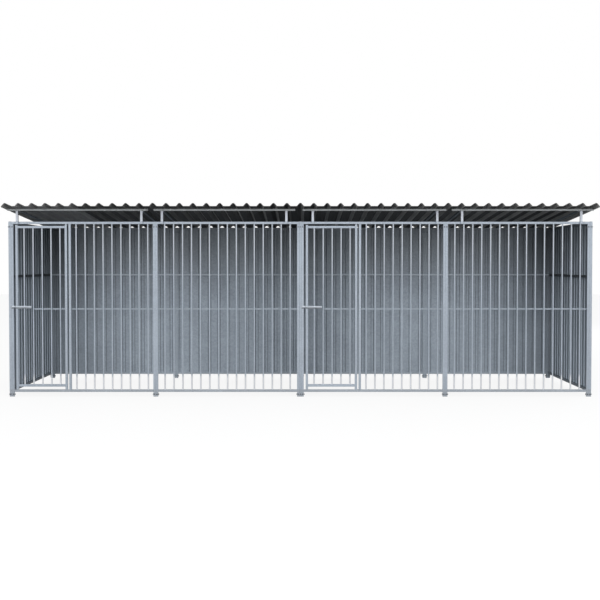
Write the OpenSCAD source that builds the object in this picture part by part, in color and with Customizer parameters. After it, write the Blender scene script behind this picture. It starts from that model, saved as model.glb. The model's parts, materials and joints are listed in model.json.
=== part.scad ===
// Outdoor dog kennel: two runs side by side under one pitched roof.
// Barred front panels with a hinged door for each run, and walls of ribbed steel sheet on tube frames.
// Millimetres. +X points right, +Y to the back and +Z up.
// The origin is on the ground under the middle of the roof.

/* [Runs] */
// Width of one front or back panel
panel_w = 1500; // [1300:10:1700]
// Depth of a run, from its front face to its back face
run_depth = 2000; // [1600:10:2600]
// Height of the panel frames above their legs
frame_h = 1775; // [1600:5:2100]

/* [Frame tube] */
// Outside width of the square tube
tube = 25; // [24:0.5:30]
// Wall of the square tube
tube_wall = 1.5; // [1:0.1:2]
// Outside corner radius of the square tube
tube_r = 2.5; // [2.1:0.1:3]
// Outside width of the partition's square tube
partition_tube = 20; // [18:0.5:25]
// Diameter of the vent holes in the front of the uprights
vent_d = 14; // [8:0.5:16]
// Root gap left for the bead at a welded joint
weld_gap = 0.2; // [0.1:0.05:0.3]
// Gap between pieces that are screwed or pushed together
seat_gap = 0.1; // [0.05:0.05:0.2]
// Height of the middle of the walls' cross rail above the ground
mid_rail_z = 1255; // [800:5:1400]

/* [Bars] */
// Diameter of an upright bar
bar_d = 16; // [12:0.5:17]
// Wall of a bar
bar_wall = 1.5; // [1:0.1:2]
// Spacing of the bars, centre to centre
bar_pitch = 93.3; // [70:0.1:110]
// Height of the flat strip's middle above the ground
strip_z = 917; // [700:1:1100]
// Height of the flat strip behind the bars
strip_h = 15; // [10:1:25]
// Thickness of the flat strip
strip_t = 4; // [2:0.1:4]

/* [Doors] */
// Width of a door leaf
door_w = 537.5; // [450:0.5:650]
// Gap between the latch post and the door
latch_gap = 20; // [18:0.5:30]
// Gap between the door and its hinge jamb
hinge_gap = 15; // [8:0.5:20]
// Gap under the door's uprights
door_foot_gap = 5; // [4:0.5:8]
// Gap over the door's uprights
door_head_gap = 10; // [7:0.5:14]
// Length of a door upright below the door's bottom rail
door_tail = 25.5; // [15:0.5:40]
// Length of a door upright above the door's top rail
door_horn = 8; // [4:0.5:20]
// Sideways shift of the door's bars towards the hinge
door_bar_shift = 7; // [0:0.5:12]

/* [Door pivots] */
// Diameter of a pivot pin
pin_d = 12; // [8:0.5:14]
// Running clearance round a pin, on the radius
pin_fit = 0.05; // [0.02:0.01:0.1]
// Outside diameter of a pivot bush
bush_d = 18; // [16:0.5:19]
// Length of a bush inside its rail
bush_len = 20; // [12:0.5:21]
// Diameter of a bush's flange
flange_d = 24; // [20:0.5:25]
// Thickness of a bush's flange
flange_t = 2; // [1:0.1:3]
// Diameter of the plug that holds a pin in the door's upright
plug_d = 21.6; // [16:0.1:21.8]
// Length of that plug
plug_len = 30; // [15:1:60]

/* [Latches] */
// Height of the latch rod's middle above the ground
latch_z = 941; // [930:1:1100]
// Diameter of the latch rod
rod_d = 14; // [10:0.5:16]
// Length of the latch rod
rod_len = 166; // [150:1:220]
// Travel of the rod into its keeper
rod_throw = 34; // [26:0.5:36]
// Clearance round the rod, on the radius
rod_fit = 0.3; // [0.2:0.05:0.5]
// Wall of the loops that guide the rod
loop_wall = 3; // [2:0.1:4]
// Length of a guide loop
loop_len = 14; // [8:0.5:20]
// Thickness of the latch's back plates
plate_t = 3; // [2:0.1:5]
// Height of the back plates
plate_h = 28; // [24:0.5:40]
// Clear space between a back plate and the rod
rod_stand = 1; // [0.6:0.1:3]
// Inset of the drawn rod's tip from the door's edge
rod_inset = 1; // [0.5:0.5:3]
// Length of the chamfer on the rod's tip
rod_nose = 2; // [1:0.5:4]
// Inset of the back plates from the edges of the tubes behind them
plate_inset = 2; // [1:0.5:4]
// Inset of the keeper's loop from the post's outer edge
keeper_inset = 8; // [4:0.5:14]
// Width of the finger tab along the rod
tab_w = 24; // [18:0.5:30]
// Thickness of the finger tab
tab_t = 6; // [4:0.5:10]
// Depth of the finger tab below the rod's middle
tab_drop = 20; // [16:0.5:30]
// Diameter of the padlock hole in the finger tab
tab_hole_d = 8; // [5:0.5:9]
// Height of the padlock hole's middle above the tab's lower edge
tab_hole_rise = 7; // [6:0.5:8]

/* [Wall sheets] */
// Spacing of the ribs on the wall sheets
wall_pitch = 115; // [90:1:150]
// Depth of a wall rib
wall_depth = 8; // [5:0.5:12]
// Width of a wall rib at its foot
wall_base = 40; // [30:1:50]
// Width of a wall rib's crest
wall_crest = 24; // [10:1:28]
// Thickness of the wall sheets
wall_t = 0.8; // [0.5:0.1:1.2]
// Inset of a wall sheet from the edge of its frame
wall_inset = 1; // [0.5:0.5:3]
// Inset of a wall sheet from the top and bottom of its frame
wall_end_inset = 10; // [5:1:20]

/* [Roof] */
// Slope of the roof in degrees, falling to the back
roof_slope = 3.75; // [2.5:0.05:6]
// Overhang of the roof in front of the front face
front_overhang = 255; // [180:5:350]
// Overhang of the roof behind the back face
rear_overhang = 115; // [40:5:200]
// Overhang of the roof past each side frame
side_overhang = 14.5; // [8:0.5:60]
// Width of the lip along each side edge of the roof
edge_out = 6; // [4:0.5:12]
// Drop of that lip below the roof's valleys
edge_drop = 9; // [4:0.5:14]
// Ribs across one roof sheet, not counting the lapped one
sheet_ribs = 11; // [6:1:14]
// Height of a roof rib
rib_h = 31; // [22:0.5:40]
// Angle of a roof rib's flanks
rib_angle = 49; // [35:0.5:55]
// Radius of a roof rib's rounded crest
rib_top_r = 19; // [8:0.5:24]
// Thickness of the roof sheets
roof_t = 1.2; // [0.8:0.1:2]

/* [Roof supports] */
// Outside width of the purlin and rafter tube
roof_tube = 20; // [16:0.5:25]
// Reach of the front purlins in front of the front face
purlin_reach = 22.5; // [12:0.5:140]
// Shortfall of each purlin against the panel width, from left to right
purlin_short = [40, 32, 12, 28]; // [4:1:80]
// Extra spacing of the roof frames against the panel width
roof_creep = 20; // [0:1:30]
// Inset of the rafters from the ends of a panel's width
rafter_inset = 104.5; // [60:0.5:200]
// Inset of the rafters under the right-hand sheet
right_rafter_inset = 132; // [60:0.5:200]
// Shift of each roof frame's rafters and uprights along the front, from left to right
frame_slip = [5, -11, -6, -5]; // [-30:1:30]
// Shift of each purlin along the front, from left to right
purlin_slip = [-12, -8, -13, 6]; // [-30:1:30]

/* [Feet and fixings] */
// Length of the legs below the bottom rails
leg_h = 50; // [40:1:80]
// Thickness of the foot pad under a leg
pad_t = 4; // [2:0.5:6]
// Step round the lower edge of a foot pad
pad_step = 2; // [0.5:0.1:3]
// Length of the plug that holds a foot pad in its leg
pad_plug = 14; // [8:0.5:16]
// Diameter of a panel bolt
bolt_d = 8; // [6:0.5:8]
// Clearance hole for a panel bolt
bolt_hole_d = 9; // [8.5:0.1:10]
// Width across the flats of a bolt head and nut
bolt_af = 13; // [12:0.5:15]
// Height of a bolt head
head_h = 5.5; // [3:0.1:7]
// Height of a nut
nut_h = 6.5; // [4:0.1:8]
// Length of thread past a nut
bolt_tail = 3; // [1:0.5:4]
// Drop of the upper bolts below the top of the frame
bolt_drop = 54; // [40:1:120]
// Height of the lower bolts, through the legs, above the ground
low_bolt_z = 26; // [25:0.5:40]
// Thickness of an end cap's head
cap_t = 2; // [1:0.1:3]
// Length of an end cap's plug
cap_len = 14; // [8:1:30]

/* [Hidden] */
$fn = 48;
FRONTS = 4;
SIDES = ["left", "right"];
NODES = concat(
    [for (i = [1 : FRONTS]) str("front_frame_", i)],
    [for (i = [1 : FRONTS]) str("front_bars_", i)],
    [for (s = SIDES) str("door_frame_", s)],
    [for (s = SIDES) str("door_bars_", s)],
    [for (s = SIDES) str("door_pivots_", s)],
    [for (s = SIDES) str("door_caps_", s)],
    [for (s = SIDES) str("latch_body_", s)],
    [for (s = SIDES) str("latch_bolt_", s)],
    ["latch_keepers", "pivot_bushes"],
    [for (i = [1 : FRONTS]) str("back_frame_", i)],
    [for (i = [1 : FRONTS]) str("back_sheet_", i)],
    [for (s = SIDES) str("side_frame_", s)],
    [for (s = SIDES) str("side_sheet_", s)],
    ["partition_frame", "partition_sheet"],
    [for (i = [1 : FRONTS]) str("roof_sheet_", i)],
    [for (i = [1 : FRONTS]) str("roof_purlin_", i)],
    [for (i = [1 : FRONTS]) str("roof_rafters_", i)],
    [for (i = [1 : FRONTS]) str("roof_uprights_", i)],
    ["panel_bolts", "panel_nuts", "feet", "end_caps"]
);
node = "all";

// Colours, as the finishes look outdoors
galvanised = "#aab1ba";
bright_zinc = "#b9c0c8";
sheet_grey = "#8f979f";
strip_grey = "#84898c";
roof_black = "#2b2d30";
foot_grey = "#8d9194";
cap_grey = "#777d84";

half = tube / 2;
partition_half = partition_tube / 2;
top_z = leg_h + frame_h;
// Overrun of a cut past the faces that it opens
overcut = 1;

// Places across the front: the partition stands between the second and third panels
function panel_x(i) = (i - 1 - FRONTS / 2) * panel_w + (i > FRONTS / 2 ? 1 : -1) * partition_half;
side_in_x = panel_w * FRONTS / 2 + partition_half;
side_out_x = side_in_x + tube;

// Places from front to back: the roof's box is centred on the origin
lap_lift = roof_t + weld_gap;
roof_run = front_overhang + run_depth + rear_overhang;
roof_len = roof_run / cos(roof_slope);
eave_y = -(roof_run + (rib_h + lap_lift + roof_t - edge_drop) * sin(roof_slope)) / 2;
front_y = eave_y + front_overhang;
back_y = front_y + run_depth;
front_c = front_y + half;
back_c = back_y - half;

// Underside of the roof's valleys: it rests on the back panels' top rails
eave_z = top_z + seat_gap + (front_overhang + run_depth) * tan(roof_slope);

high_bolt_z = top_z - bolt_drop;
bolt_z = [high_bolt_z, low_bolt_z];

// Square tube

module rounded_square(side, r) {
    square([side - 2 * r, side], center = true);
    square([side, side - 2 * r], center = true);
    for (sx = [-1, 1], sy = [-1, 1])
        translate([sx, sy] * (side / 2 - r)) circle(r);
}

module square_tube(length, side = tube) {
    linear_extrude(length) difference() {
        rounded_square(side, tube_r);
        rounded_square(side - 2 * tube_wall, tube_r - tube_wall);
    }
}

module tube_x(x0, x1, y, z) {
    translate([x0, y, z]) rotate([0, 90, 0]) square_tube(x1 - x0);
}

module tube_y(x, y0, y1, z, side = tube) {
    translate([x, y0, z]) rotate([-90, 0, 0]) square_tube(y1 - y0, side);
}

module tube_z(x, y, z0, z1, side = tube) {
    translate([x, y, z0]) square_tube(z1 - z0, side);
}

// An upright tube that ends in a leg, drilled sideways for the panel bolts and vented at the front
module stile(x, y, z1, side = tube) {
    difference() {
        tube_z(x, y, pad_t, z1, side);
        for (z = bolt_z) {
            translate([x - side, y, z]) rotate([0, 90, 0]) cylinder(d = bolt_hole_d, h = 2 * side);
            translate([x, y - side, z]) rotate([-90, 0, 0]) cylinder(d = vent_d, h = side);
        }
    }
}

// Front and back panels

module panel_stiles(i, y) {
    for (x = [panel_x(i) + half, panel_x(i) + panel_w - half])
        stile(x, y, top_z - tube - weld_gap);
}

module panel_top_rail(i, y) {
    tube_x(panel_x(i), panel_x(i) + panel_w, y, top_z - half);
}

module panel_cross_rail(i, y, z) {
    inset = tube + weld_gap;
    tube_x(panel_x(i) + inset, panel_x(i) + panel_w - inset, y, z);
}

// The first panel of each run holds the door
function has_door(i) = i % 2 == 1;
function door_x(i) = panel_x(i) + tube + latch_gap;
function hinge_x(i) = door_x(i) + door_w - half;
function jamb_x(i) = door_x(i) + door_w + hinge_gap + half;

module bush_holes(i) {
    for (z = [leg_h + tube, top_z - tube])
        translate([hinge_x(i), front_c, z])
            cylinder(d = bush_d + 2 * seat_gap, h = 4 * tube_wall, center = true);
}

module front_frame(i) {
    color(galvanised) {
        panel_stiles(i, front_c);
        if (has_door(i)) {
            difference() {
                panel_top_rail(i, front_c);
                bush_holes(i);
            }
            difference() {
                panel_cross_rail(i, front_c, leg_h + half);
                bush_holes(i);
            }
            tube_z(jamb_x(i), front_c, leg_h + tube + weld_gap, top_z - tube - weld_gap);
        } else {
            panel_top_rail(i, front_c);
            panel_cross_rail(i, front_c, leg_h + half);
        }
    }
}

// Bars stand evenly in the middle of a gap from x0 to x1, with a flat strip behind them

function bar_count(x0, x1) = floor((x1 - x0) / bar_pitch);
function bar_x(x0, x1, k) = (x0 + x1) / 2 + (k - (bar_count(x0, x1) - 1) / 2) * bar_pitch;

module bar(x, z0, z1) {
    translate([x, front_c, z0]) difference() {
        cylinder(d = bar_d, h = z1 - z0);
        translate([0, 0, -overcut])
            cylinder(d = bar_d - 2 * bar_wall, h = z1 - z0 + 2 * overcut);
    }
}

module bar_row(x0, x1, z0, z1, shift = 0) {
    for (k = [0 : bar_count(x0, x1) - 1])
        bar(bar_x(x0, x1, k) + shift, z0 + weld_gap, z1 - weld_gap);
}

module flat_strip(x0, x1) {
    translate([x0 + weld_gap, front_c + bar_d / 2 + weld_gap, strip_z - strip_h / 2])
        cube([x1 - x0 - 2 * weld_gap, strip_t, strip_h]);
}

module front_bars(i) {
    x0 = has_door(i) ? jamb_x(i) + half : panel_x(i) + tube;
    x1 = panel_x(i) + panel_w - tube;
    color(galvanised) {
        bar_row(x0, x1, leg_h + tube, top_z - tube);
        flat_strip(x0, x1);
    }
}

// Doors: a welded leaf that turns on a pin at each end of its hinge upright

door_z0 = leg_h + tube + door_foot_gap;
door_z1 = top_z - tube - door_head_gap;
door_low_rail = door_z0 + door_tail + half;
door_high_rail = door_z1 - door_horn - half;

module door_frame(i) {
    color(galvanised) {
        for (x = [door_x(i) + half, hinge_x(i)])
            tube_z(x, front_c, door_z0, door_z1);
        for (z = [door_low_rail, door_high_rail])
            tube_x(door_x(i) + tube + weld_gap, hinge_x(i) - half - weld_gap, front_c, z);
    }
}

module door_bars(i) {
    x0 = door_x(i) + tube;
    x1 = hinge_x(i) - half;
    second_bar = bar_x(x0, x1, 1) + door_bar_shift;
    color(galvanised) {
        bar_row(x0, x1, door_low_rail + half, door_high_rail - half, door_bar_shift);
        flat_strip(second_bar - bar_d / 2, x1);
    }
}

// A pin with a collar under the end of the door's upright and a plug held inside it
module pivot(collar_h, pin_len) {
    translate([0, 0, -seat_gap]) cylinder(d = plug_d, h = plug_len + seat_gap);
    translate([0, 0, -collar_h]) cylinder(d = flange_d, h = collar_h - seat_gap);
    translate([0, 0, -pin_len]) cylinder(d = pin_d, h = pin_len);
}

module door_pivots(i) {
    low_collar = door_foot_gap - flange_t - pin_fit;
    high_collar = (door_head_gap - flange_t) / 2;
    color(bright_zinc) {
        translate([hinge_x(i), front_c, door_z0])
            pivot(low_collar, door_foot_gap + bush_len);
        translate([hinge_x(i), front_c, door_z1]) mirror([0, 0, 1])
            pivot(high_collar, door_head_gap + bush_len);
    }
}

module bush() {
    difference() {
        union() {
            cylinder(d = flange_d, h = flange_t);
            translate([0, 0, -bush_len]) cylinder(d = bush_d, h = bush_len + flange_t);
        }
        translate([0, 0, -bush_len - overcut])
            cylinder(d = pin_d + 2 * pin_fit, h = bush_len + flange_t + 2 * overcut);
    }
}

module pivot_bushes() {
    color(bright_zinc) for (i = [1 : 2 : FRONTS]) {
        translate([hinge_x(i), front_c, leg_h + tube]) bush();
        translate([hinge_x(i), front_c, top_z - tube]) mirror([0, 0, 1]) bush();
    }
}

// The part of a plastic cap or pad that is pushed into a tube
module tube_plug(length, side) {
    linear_extrude(length) rounded_square(side - 2 * (tube_wall + seat_gap), tube_r - tube_wall);
}

// A flush cap for an open tube end, head up
module tube_cap(side = tube) {
    linear_extrude(cap_t) rounded_square(side, tube_r);
    translate([0, 0, -cap_len]) tube_plug(cap_len + cap_t / 2, side);
}

module door_caps(i) {
    color(cap_grey) translate([door_x(i) + half, front_c, 0]) {
        translate([0, 0, door_z1]) tube_cap();
        translate([0, 0, door_z0]) mirror([0, 0, 1]) tube_cap();
    }
}

// Latches: a rod with a finger tab slides in two loops on the door, and shoots into a keeper on the post

loop_bore_r = rod_d / 2 + rod_fit;
loop_r = loop_bore_r + loop_wall;
rod_y = front_y - plate_t - rod_stand - rod_d / 2;
plate_z0 = latch_z - tab_drop;

// A loop round the rod, closed towards the plate behind it, from x0 to x1
module rod_loop(x0, x1) {
    back = front_y - plate_t / 2 - rod_y;
    translate([x0, rod_y, latch_z]) rotate([90, 0, 90]) linear_extrude(x1 - x0) difference() {
        union() {
            circle(loop_r);
            translate([0, -loop_r]) square([back, 2 * loop_r]);
        }
        circle(loop_bore_r);
    }
}

module back_plate(x0, x1) {
    translate([x0, front_y - plate_t, plate_z0]) cube([x1 - x0, plate_t - seat_gap, plate_h]);
}

function rod_x(i) = door_x(i) + rod_inset;
function tab_x(i) = rod_x(i) + rod_len - plate_inset - tab_w;

module latch_body(i) {
    first_loop = rod_x(i) + rod_nose;
    second_loop = tab_x(i) - rod_throw - rod_fit - loop_len;
    color(bright_zinc) {
        back_plate(door_x(i) + plate_inset, rod_x(i) + rod_len);
        for (x = [first_loop, second_loop]) rod_loop(x, x + loop_len);
    }
}

module latch_bolt(i) {
    color(bright_zinc) difference() {
        union() {
            translate([rod_x(i) + rod_nose, rod_y, latch_z]) rotate([0, 90, 0])
                cylinder(d = rod_d, h = rod_len - rod_nose);
            translate([rod_x(i), rod_y, latch_z]) rotate([0, 90, 0])
                cylinder(d1 = rod_d - 2 * rod_nose, d2 = rod_d, h = rod_nose);
            translate([tab_x(i), rod_y - tab_t / 2, plate_z0])
                cube([tab_w, tab_t, tab_drop]);
        }
        translate([tab_x(i) + tab_w / 2, rod_y, plate_z0 + tab_hole_rise]) rotate([90, 0, 0])
            cylinder(d = tab_hole_d, h = 2 * rod_d, center = true);
    }
}

module latch_keepers() {
    color(bright_zinc) for (i = [1 : 2 : FRONTS]) {
        back_plate(panel_x(i) + plate_inset, panel_x(i) + tube - plate_inset);
        rod_loop(panel_x(i) + keeper_inset, door_x(i) - plate_inset);
    }
}

// Ribbed wall sheet, width along +X, ribs standing out along +Y

function wall_ribs(w) = floor((w + wall_pitch - wall_base - 2 * (tube + wall_inset)) / wall_pitch);

module wall_sheet(w) {
    n = wall_ribs(w);
    line = concat(
        [[-w / 2, 0]],
        [for (k = [0 : n - 1], p = [[-wall_base, 0], [-wall_crest, 1], [wall_crest, 1], [wall_base, 0]])
            [(k - (n - 1) / 2) * wall_pitch + p[0] / 2, p[1] * wall_depth]],
        [[w / 2, 0]]
    );
    points = len(line);
    outer = [for (k = [points - 1 : -1 : 0]) line[k] + [0, wall_t]];
    translate([0, seat_gap, leg_h + wall_end_inset])
        linear_extrude(frame_h - 2 * wall_end_inset) polygon(concat(line, outer));
}

module back_frame(i) {
    color(galvanised) {
        panel_stiles(i, back_c);
        panel_top_rail(i, back_c);
        for (z = [leg_h + half, mid_rail_z]) panel_cross_rail(i, back_c, z);
    }
}

module back_sheet(i) {
    color(sheet_grey) translate([panel_x(i) + panel_w / 2, back_y, 0])
        wall_sheet(panel_w - 2 * wall_inset);
}

// Side and partition frames stand between the front and back planes, with full-height uprights

module deep_frame(x, side) {
    inset = side / 2 + weld_gap;
    for (y = [front_c, back_c]) stile(x, y, top_z, side);
    for (z = [leg_h + side / 2, mid_rail_z, top_z - side / 2])
        tube_y(x, front_c + inset, back_c - inset, z, side);
}

function hand(s) = s == "left" ? -1 : 1;

module side_frame(s) {
    color(galvanised) deep_frame(hand(s) * (side_in_x + half), tube);
}

module side_sheet(s) {
    color(sheet_grey) difference() {
        translate([hand(s) * side_out_x, (front_y + back_y) / 2, 0]) rotate([0, 0, -90 * hand(s)])
            wall_sheet(run_depth - 2 * wall_inset);
        for (y = [front_c, back_c])
            translate([hand(s) * side_out_x, y, high_bolt_z]) rotate([0, 90, 0])
                cylinder(d = bolt_hole_d, h = tube, center = true);
    }
}

module partition_frame() {
    color(galvanised) deep_frame(0, partition_tube);
}

module partition_sheet() {
    color(sheet_grey) translate([partition_half, (front_y + back_y) / 2, 0]) rotate([0, 0, -90])
        wall_sheet(run_depth - 2 * (tube + wall_inset));
}

// Roof: things under it are drawn flat, with the eave on the X axis, then tipped

module on_roof() {
    translate([0, eave_y, eave_z]) rotate([-roof_slope, 0, 0]) children();
}

rib_foot = rib_top_r * sin(rib_angle) + (rib_h - rib_top_r * (1 - cos(rib_angle))) / tan(rib_angle);
rib_pitch = 2 * (side_out_x + side_overhang - edge_out - rib_foot) / (FRONTS * sheet_ribs);
crest_steps = 6;

function rib_u(k) = (k - FRONTS * sheet_ribs / 2) * rib_pitch;
function crest(u, lift) = [
    for (k = [0 : crest_steps])
        let (a = rib_angle * (2 * k / crest_steps - 1))
        [u + rib_top_r * sin(a), rib_h - rib_top_r * (1 - cos(a)) + lift]
];
function rib_left(u) = [u - rib_foot, 0];
function rib_right(u, lift) = [u + rib_foot + lift / tan(rib_angle), 0];
function lip(u, way) = [u + way * (rib_foot + edge_out), -edge_drop];
function flank(u, way, lift) = [u + way * (rib_foot - rib_h / 2 / tan(rib_angle)), rib_h / 2 + lift];

// The first rib of a sheet laps over the last rib of the sheet to its left
// The outermost ribs end in a lip that hangs below the valleys
function sheet_line(i) =
    let (first = (i - 1) * sheet_ribs, last = i * sheet_ribs)
    concat(
        i == 1
            ? concat([lip(rib_u(first), -1), rib_left(rib_u(first))], crest(rib_u(first), 0),
                [rib_right(rib_u(first), 0)])
            : concat([flank(rib_u(first), -1, lap_lift)], crest(rib_u(first), lap_lift),
                [rib_right(rib_u(first), lap_lift)]),
        [for (k = [first + 1 : last - 1], p = concat([rib_left(rib_u(k))], crest(rib_u(k), 0),
            [rib_right(rib_u(k), 0)])) p],
        [rib_left(rib_u(last))],
        crest(rib_u(last), 0),
        i == FRONTS ? [rib_right(rib_u(last), 0), lip(rib_u(last), 1)] : [flank(rib_u(last), 1, 0)]
    );

module roof_sheet(i) {
    line = sheet_line(i);
    points = len(line);
    upper = [for (k = [points - 1 : -1 : 0]) line[k] + [0, roof_t]];
    color(roof_black) on_roof() translate([0, roof_len, 0]) rotate([90, 0, 0])
        linear_extrude(roof_len) polygon(concat(line, upper));
}

// Each roof frame has two uprights on the front panel, a purlin on top of them and two rafters behind it

roof_frame_pitch = panel_w + roof_creep;
function roof_frame_x(i) =
    let (way = i > FRONTS / 2 ? 1 : -1, step = abs(i - (FRONTS + 1) / 2))
    way * (step * roof_frame_pitch + partition_half + roof_creep / 2);
function rafter_xs(i) =
    let (reach = panel_w / 2 - (i == FRONTS ? right_rafter_inset : rafter_inset))
    [for (way = [-1, 1]) roof_frame_x(i) + frame_slip[i - 1] + way * reach];

purlin_s = (front_overhang - purlin_reach) / cos(roof_slope);
rafter_s0 = purlin_s + roof_tube + weld_gap;
rafter_s1 = (front_overhang + run_depth - tube - weld_gap) / cos(roof_slope);
roof_tube_w = -seat_gap - roof_tube / 2;

module roof_purlin(i) {
    length = panel_w - purlin_short[i - 1];
    left = roof_frame_x(i) + purlin_slip[i - 1] - length / 2;
    color(strip_grey) on_roof() translate([left, purlin_s + roof_tube / 2, roof_tube_w])
        rotate([0, 90, 0]) square_tube(length, roof_tube);
}

module roof_rafters(i) {
    color(galvanised) on_roof() for (x = rafter_xs(i))
        translate([x, rafter_s0, roof_tube_w]) rotate([-90, 0, 0])
            square_tube(rafter_s1 - rafter_s0, roof_tube);
}

module roof_uprights(i) {
    rafter_low = eave_z - front_overhang * tan(roof_slope) - (roof_tube + seat_gap) / cos(roof_slope);
    color(galvanised) for (x = rafter_xs(i))
        tube_z(x, front_y - half - seat_gap, top_z - tube, rafter_low - weld_gap);
}

// Panel bolts lie along X through every pair of uprights, with the partition between the middle pair
// The upper corner bolts also pass through the side sheets

joint_x = [for (k = [1 : FRONTS / 2 - 1], way = [-1, 1]) way * (k * panel_w + partition_half)];

module at_panel_bolts() {
    for (y = [front_c, back_c], z = bolt_z) {
        sheet = z == high_bolt_z ? wall_t + seat_gap : 0;
        for (x = joint_x) translate([x - tube, y, z]) {
            $grip = 2 * tube;
            children();
        }
        translate([-partition_half - tube, y, z]) {
            $grip = 2 * tube + partition_tube;
            children();
        }
        for (way = [-1, 1]) translate([way * (side_out_x + sheet), y, z])
            rotate([0, 0, way > 0 ? 180 : 0]) {
                $grip = 2 * tube + sheet;
                children();
            }
    }
}

module hexagon(height) {
    cylinder(d = bolt_af / cos(30), h = height, $fn = 6);
}

module panel_bolts() {
    color(bright_zinc) at_panel_bolts() rotate([0, 90, 0]) {
        translate([0, 0, -head_h - seat_gap]) hexagon(head_h);
        translate([0, 0, -seat_gap - head_h / 2])
            cylinder(d = bolt_d, h = $grip + nut_h + bolt_tail + head_h / 2);
    }
}

module panel_nuts() {
    color(bright_zinc) at_panel_bolts() translate([$grip + seat_gap, 0, 0]) rotate([0, 90, 0])
        difference() {
            hexagon(nut_h);
            translate([0, 0, -overcut])
                cylinder(d = bolt_d + 2 * seat_gap, h = nut_h + 2 * overcut);
        }
}

// Foot pads under the legs, and caps on the full-height uprights

panel_leg_x = [for (i = [1 : FRONTS], x = [half, panel_w - half]) panel_x(i) + x];
side_leg_x = [for (way = [-1, 1]) way * (side_in_x + half)];

module foot_pad(side = tube) {
    linear_extrude(pad_t / 2) rounded_square(side - 2 * pad_step, tube_r);
    translate([0, 0, pad_t / 2]) {
        linear_extrude(pad_t / 2) rounded_square(side - 2 * seat_gap, tube_r);
        tube_plug(pad_t / 2 + pad_plug, side);
    }
}

module feet() {
    color(foot_grey) for (y = [front_c, back_c]) {
        for (x = concat(panel_leg_x, side_leg_x)) translate([x, y, 0]) foot_pad();
        translate([0, y, 0]) foot_pad(partition_tube);
    }
}

module end_caps() {
    color(cap_grey) for (y = [front_c, back_c]) {
        for (x = side_leg_x) translate([x, y, top_z]) tube_cap();
        translate([0, y, top_z]) tube_cap(partition_tube);
    }
}

function shown(name) = node == "all" || node == name;
function door_panel(s) = s == "left" ? 1 : FRONTS / 2 + 1;

for (i = [1 : FRONTS]) if (shown(str("front_frame_", i))) front_frame(i);
for (i = [1 : FRONTS]) if (shown(str("front_bars_", i))) front_bars(i);
for (s = SIDES) if (shown(str("door_frame_", s))) door_frame(door_panel(s));
for (s = SIDES) if (shown(str("door_bars_", s))) door_bars(door_panel(s));
for (s = SIDES) if (shown(str("door_pivots_", s))) door_pivots(door_panel(s));
for (s = SIDES) if (shown(str("door_caps_", s))) door_caps(door_panel(s));
for (s = SIDES) if (shown(str("latch_body_", s))) latch_body(door_panel(s));
for (s = SIDES) if (shown(str("latch_bolt_", s))) latch_bolt(door_panel(s));
if (shown("latch_keepers")) latch_keepers();
if (shown("pivot_bushes")) pivot_bushes();
for (i = [1 : FRONTS]) if (shown(str("back_frame_", i))) back_frame(i);
for (i = [1 : FRONTS]) if (shown(str("back_sheet_", i))) back_sheet(i);
for (s = SIDES) if (shown(str("side_frame_", s))) side_frame(s);
for (s = SIDES) if (shown(str("side_sheet_", s))) side_sheet(s);
if (shown("partition_frame")) partition_frame();
if (shown("partition_sheet")) partition_sheet();
for (i = [1 : FRONTS]) if (shown(str("roof_sheet_", i))) roof_sheet(i);
for (i = [1 : FRONTS]) if (shown(str("roof_purlin_", i))) roof_purlin(i);
for (i = [1 : FRONTS]) if (shown(str("roof_rafters_", i))) roof_rafters(i);
for (i = [1 : FRONTS]) if (shown(str("roof_uprights_", i))) roof_uprights(i);
if (shown("panel_bolts")) panel_bolts();
if (shown("panel_nuts")) panel_nuts();
if (shown("feet")) feet();
if (shown("end_caps")) end_caps();
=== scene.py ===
# %% [markdown]
# # Dressing a double outdoor dog run
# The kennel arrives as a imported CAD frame: tubes, bars, ribbed sheets, doors and latches, each in its
# true place. This script gives every surface its finish and adds the small things that fasten and
# join it: weld beads, rivets and screws. Nothing here changes the frame's sizes. All lengths are metres.

# %% Load the frame
import json
import math
from collections import namedtuple

import bmesh
import bpy
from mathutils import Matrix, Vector


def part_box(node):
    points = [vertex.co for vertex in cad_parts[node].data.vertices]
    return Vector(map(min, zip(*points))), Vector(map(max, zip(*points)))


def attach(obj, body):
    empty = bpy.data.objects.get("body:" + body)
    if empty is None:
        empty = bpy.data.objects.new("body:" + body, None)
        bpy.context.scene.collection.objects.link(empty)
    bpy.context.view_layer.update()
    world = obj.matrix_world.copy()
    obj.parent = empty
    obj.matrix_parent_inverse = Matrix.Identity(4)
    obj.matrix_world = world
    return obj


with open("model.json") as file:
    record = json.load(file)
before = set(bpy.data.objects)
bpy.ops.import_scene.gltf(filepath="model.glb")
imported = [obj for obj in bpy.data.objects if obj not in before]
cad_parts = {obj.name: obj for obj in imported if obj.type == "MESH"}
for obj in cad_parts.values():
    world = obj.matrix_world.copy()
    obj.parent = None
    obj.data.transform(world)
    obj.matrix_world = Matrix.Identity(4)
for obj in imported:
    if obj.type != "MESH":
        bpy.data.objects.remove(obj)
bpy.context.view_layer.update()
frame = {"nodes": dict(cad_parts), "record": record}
nodes = frame["nodes"]
front_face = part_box("front_frame_1")[0].y

# %% [markdown]
# ## The camera
# The photograph looks straight at the front from about chest height, far enough away that the side
# walls only just open up. The run's four equal panels give the scale, and the step from the front
# legs to the rear legs gives the distance. A long lens from there, tilted by less than two degrees,
# keeps the uprights upright.

# %% Camera
IMAGE_SIDE = 600
FOCAL_PIXELS = 1152
CAMERA_DISTANCE = 11.99
CAMERA_HEIGHT = 1.384
CAMERA_PITCH = math.radians(1.784)
CAMERA_YAW = math.radians(0.020)
CAMERA_REACH = 200


def into_scene(name, data):
    made = bpy.data.objects.new(name, data)
    bpy.context.scene.collection.objects.link(made)
    return made


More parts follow.
